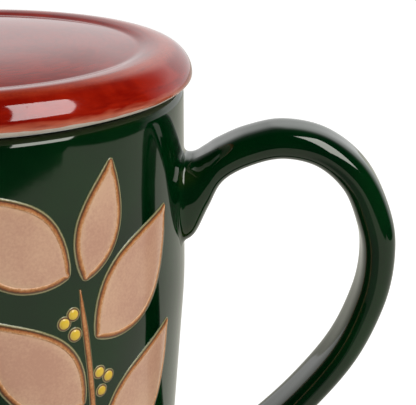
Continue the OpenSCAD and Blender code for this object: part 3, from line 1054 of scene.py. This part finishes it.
def punching_tree():
    tree, add, given = new_tree("punched_tube", [("Cell", "Object"), ("Radius", "Float")])
    cell = add("ObjectInfo", {"Object": given["Cell"]}, transform_space="ORIGINAL")
    placed = add("InstanceOnPoints", {0: given["Geometry"], "Instance": cell.outputs["Geometry"]})
    real = add("RealizeInstances", placed)
    # roll the flat sheet up: x along it becomes the angle round the axis
    place = add("InputPosition")
    flat = add("SeparateXYZ", place).outputs
    angle = add("Math DIVIDE", flat[0], given["Radius"])
    radius = add("CombineXYZ", {1: given["Radius"]})
    spoke = add("VectorRotate", {"Vector": radius, "Angle": angle}, rotation_type="Z_AXIS")
    height = add("CombineXYZ", {2: flat[2]})
    rolled = add("VectorMath ADD", spoke, height)
    tube = add("SetPosition", {0: real, "Position": rolled})
    closed = add("MergeByDistance", {0: tube, "Distance": 2e-6})
    end_tree(closed, given["Material"])
    return tree


punched_tube = punching_tree()
print(cell_rows, "rows of", cells_round, "holes")

# %% [markdown]
# ## Sheet metal from flat surfaces
#
# A sheet is easiest to draw as a surface without thickness. Solidify then gives it its gauge, and
# the parts that were welded or pressed together are joined into one piece. The wall's two ends
# lap by 7 mm, and a row of spot welds dimples the lap.

# %% Basket wall
def thicken(piece, thickness):
    """Gives a sheet its thickness, half to each side."""
    solid = piece.modifiers.new("thickness", "SOLIDIFY")
    solid.thickness = thickness * MM
    solid.offset = 0
    return apply_modifiers(piece)


def join(name, pieces):
    """Joins pieces of one material into the first of them."""
    with bpy.context.temp_override(active_object=pieces[0], selected_editable_objects=pieces):
        bpy.ops.object.join()
    pieces[0].name = pieces[0].data.name = name
    return pieces[0]


cell = punched_cell(cell_w, cell_h)
cell_points = [((c + 0.5 * (row % 2)) * cell_w, 0, holes_low + (row + 0.5) * cell_h)
               for row in range(cell_rows) for c in range(cells_round)]
holes = run_tree(new_piece("holes", cell_points), punched_tube,
                 {"Cell": cell, "Radius": sheet_r * MM, "Material": punched_steel})
bpy.data.objects.remove(cell)
# the plain bands below and above the holes meet the border points of the cells, four to a cell
bands = [turn("band", dense([(sheet_r, low), (sheet_r, high)], 3), punched_steel,
              steps=cells_round * 4, wobble=0)
         for low, high in ((wall_low, holes_low), (holes_top, wall_top))]

# bends of the sheet that are sharper than this stay crisp
crisp_angle = math.radians(50)
lap_w, weld_r, weld_depth, weld_step = 7.0, 1.1, 0.14, 9.0
lap_middle = math.radians(200)
across, up = np.meshgrid(np.linspace(-lap_w / 2, lap_w / 2, 25), np.linspace(wall_low, wall_top, 150))
from_weld = np.hypot(across, (up - wall_low) % weld_step - weld_step / 2)
lap_radius = sheet_r - punched_t + weld_depth * np.exp(-(from_weld / weld_r * 1.4) ** 4)
lap_angle = lap_middle + across / sheet_r
lap_points = np.stack([lap_radius * np.cos(lap_angle), lap_radius * np.sin(lap_angle), up], -1)
lap = new_piece("lap", lap_points.reshape(-1, 3), grid_faces(*up.shape))
lap.data.materials.append(punched_steel)
lap.data.shade_smooth()
basket_wall = join("punched_basket_wall", [thicken(sheet, punched_t) for sheet in [holes, lap] + bands])
basket_wall.data.set_sharp_from_angle(angle=crisp_angle)
report(basket_wall)

# %% [markdown]
# ## The basket's base
#
# The base is a shallow cup pressed over the end of the wall, with holes in its floor. Here the
# holes sit in a round sheet, so square cells don't tile it. Fill Curve does it in one step: it
# takes one big circle and a small circle at each point, and fills what lies between them.

# %% Basket base
def disc_tree():
    tree, add, given = new_tree("punched_disc", [("Hole", "Float"), ("Edge", "Float")])
    hole = add("CurvePrimitiveCircle", {"Resolution": hole_sides, "Radius": given["Hole"]})
    placed = add("InstanceOnPoints", {0: given["Geometry"], "Instance": hole})
    rings = add("RealizeInstances", placed)
    edge = add("CurvePrimitiveCircle", {"Resolution": 200, "Radius": given["Edge"]})
    both = add("JoinGeometry")
    for curves in (rings, edge):
        fill(both, {0: curves})
    sheet = add("FillCurve", both)
    end_tree(sheet, given["Material"], smooth=False)
    return tree


floor_r = skirt_r - hole_margin
cup_out = skirt_r + punched_t
# plain sheet between the outermost holes and the edge
edge_margin = 0.8
half_rows = int(floor_r / row_step)
base_points = [((i + 0.5 * (j % 2)) * hole_pitch, j * row_step, 0)
               for j in range(-half_rows, half_rows + 1) for i in range(-half_rows - 3, half_rows + 4)]
base_points = [p for p in base_points if math.hypot(p[0], p[1]) < floor_r - hole_r - edge_margin]
disc = run_tree(new_piece("disc", base_points), disc_tree(),
                {"Hole": hole_r * MM, "Edge": floor_r * MM, "Material": punched_steel})
disc.data.transform(Matrix.Translation((0, 0, (basket_low + punched_t / 2) * MM)))
cup_outline = rounded([
    (floor_r, basket_low, 0),
    (cup_out, basket_low, 0.9),
    (cup_out, basket_low + lap_h, cut_edge),
    (skirt_r, basket_low + lap_h, cut_edge),
    (skirt_r, basket_low + punched_t, 0.5),
    (floor_r, basket_low + punched_t, 0),
    (floor_r, basket_low, 0)], step=2, arc_parts=6)
cup = turn("cup", cup_outline, punched_steel, steps=200, wobble=0)
basket_base = join("punched_basket_base", [cup, thicken(disc, punched_t)])
basket_base.data.set_sharp_from_angle(angle=crisp_angle)
print(len(base_points), "holes in the base")
report(basket_base)

# %% [markdown]
# ## Stage and light
#
# A glossy pot shows the room it stands in, so the light is built from what it should mirror. The
# table is white, its front edge runs askew about 215 to 320 mm in front of the mug, and past that
# edge the room is dark: that is why the wall looks black near the rim and grey-green lower down.
# At the front left, the table's glow is painted darker for the gloss only. This is a painted dark
# reflection, and no object stands there.
# One window-shaped softbox makes the white bar on the rim and the soft square on the lid.
# Only the back of the room is bright, most of all near the horizon, which gives the lid's top its
# pale fade.

# %% Stage and light
# the share of the table that glows and how brightly, for the camera and then for the gloss
seen_share, seen_level, gloss_share, gloss_level = 0.35, 1.97, 0.75, 0.62
# how much of the table's glow stays in the painted dark reflection at the front left, which only the gloss
# sees
painted_dark_patch_level = 0.08


def white_table():
    """Matte white. Part of what the camera and the gloss see glows, and the rest is lit and shaded."""
    material, add, shader = new_material("white_table")
    fill(shader, {"Base Color": colour("#f2f2f2"), "Roughness": 0.9})
    rays = add("LightPath").outputs
    gloss = add("Math MAXIMUM", rays["Is Glossy Ray"], rays["Is Transmission Ray"])
    glossy = add("Math MULTIPLY", gloss, gloss_share)
    share = add("Mix", {0: rays["Is Camera Ray"], 2: glossy, 3: seen_share})
    # painted dark reflection: at the front left the table's glow is dimmed, for the gloss only
    parts = add("SeparateXYZ", add("TexCoord").outputs["Object"]).outputs
    right = add("MapRange", parts[0], 0.045, 0.06, painted_dark_patch_level, 1.0)
    back = add("MapRange", parts[1], -0.06, -0.04, painted_dark_patch_level, 1.0)
    clear = add("Math MAXIMUM", right, back)
    mirrored = add("Math MULTIPLY", clear, gloss_level)
    strength = add("Mix", {0: rays["Is Camera Ray"], 2: mirrored, 3: seen_level})
    tint = add("Mix", {0: rays["Is Camera Ray"], 6: colour("#fffdea"), 7: colour("#ffffff")},
               data_type="RGBA")
    glow = add("Emission", {"Color": tint, "Strength": strength})
    both = add("MixShader", share, shader, glow)
    fill(material.node_tree.nodes["Material Output"], {"Surface": both})
    return material


# the table top's outline: the slanting front edge from left to right, then the two back corners
outline = [(-900, -320), (100, -316), (172, -289), (240, -262), (318, -214), (412, -240),
           (412, 900), (-900, 900)]
count = len(outline)
table = new_piece("table", [(x, y, z) for z in (0, -30) for x, y in outline],
                  [range(count), range(2 * count - 1, count - 1, -1)] + ring_faces(2, count))
table.data.materials.append(white_table())

# a tall softbox to the right of the camera leans over the mug: a bright screen that only the gloss
# sees, whose four corners give the highlight its shape
softbox_corners = [(389, -609, 357), (720, -381, 393), (578, 131, 1163), (248, -97, 1126)]
softbox_level = 8
window_glow, add, _ = new_material("window_softbox")
glow = add("Emission", {"Strength": softbox_level})
fill(window_glow.node_tree.nodes["Material Output"], {"Surface": glow})
softbox = new_piece("window_softbox", softbox_corners, [range(4)])
softbox.data.materials.append(window_glow)
softbox.visible_camera = softbox.visible_diffuse = softbox.visible_shadow = False

# the light that the softbox gives comes from a lamp in the same place, which the gloss doesn't see
lamp_place, lamp_facing, lamp_size, lamp_level = (484, -239, 760), (-0.429, 0.713, -0.553), (402, 935), 4.5
lamp_data = bpy.data.lights.new("window_light", "AREA")
lamp_data.shape = "RECTANGLE"
lamp_data.size, lamp_data.size_y = (v * MM for v in lamp_size)
# a flat lamp of radiance L and area A gives off pi * A * L watts on one side
lamp_data.energy = math.pi * lamp_data.size * lamp_data.size_y * lamp_level
lamp = bpy.data.objects.new("window_light", lamp_data)
lamp.location = Vector(lamp_place) * MM
lamp.rotation_euler = Vector(lamp_facing).to_track_quat("-Z", "Y").to_euler()
lamp.visible_camera = lamp.visible_glossy = False
bpy.context.scene.collection.objects.link(lamp)


def room():
    """White for the camera; for the gloss, dark in front and bright behind, near the horizon."""
    world = bpy.data.worlds.new("room")
    bpy.context.scene.world = world
    world.use_nodes = True
    world.node_tree.nodes.clear()
    add = partial(add_node, world.node_tree)
    way = add("TexCoord").outputs["Generated"]
    parts = add("SeparateXYZ", way).outputs
    # straight behind the mug, the bright part reaches higher up towards the right side
    rise = add("MapRange", parts[0], -0.06, 0.08, 0.0, 0.2)
    astern = add("MapRange", parts[1], 0.6, 0.85)
    added = add("Math MULTIPLY", rise, astern)
    lowered = add("Math SUBTRACT", parts[2], added)
    fade = add("MapRange", lowered, 0.0, 0.62, 0.0, 1.0)
    ramp = add("ValToRGB", fade)
    levels = ((0.0, 1.0), (0.33, 1.0), (0.5, 0.66), (0.7, 0.3), (1.0, 0.05))
    set_stops(ramp, [(at, (level, level, level, 1)) for at, level in levels])
    behind = add("MapRange", parts[1], 0.3, 0.7, 0.02, 1.0)
    mirrored = add("Math MULTIPLY", ramp, behind)
    rays = add("LightPath").outputs
    glossy = add("Mix", {0: rays["Is Glossy Ray"], 2: 0.45, 3: mirrored})
    level = add("Mix", {0: rays["Is Camera Ray"], 2: glossy, 3: 1.0})
    back = add("Background", (1, 1, 1, 1), level)
    add("OutputWorld", back)


room()
bpy.context.scene.view_settings.view_transform = "Standard"
print("softbox at", lamp_place, "mm")

# %% [markdown]
# ## What rides on what
#
# Each new piece rides on its body. Each stand-in hides the CAD node of the same part, whose place it takes.

# %% Into the frame
raised = ((petals, "pink_glaze"), (lines, "brown_line"), (berries, None))
for piece, slot in raised:
    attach(piece, "mug")
stand_ins = (
    (mug, "mug", "mug_body", "green_glaze"),
    (handle_skin, "mug", "handle", "green_glaze"),
    (lid, "lid", "lid", "red_glaze"),
    (collar, "infuser", "infuser_collar", "pressed_steel"),
    (basket_wall, "infuser", "infuser_wall", "punched_steel"),
    (basket_base, "infuser", "infuser_base", "punched_steel"))
for piece, body, node, slot in stand_ins:
    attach(piece, body)
    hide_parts(node)
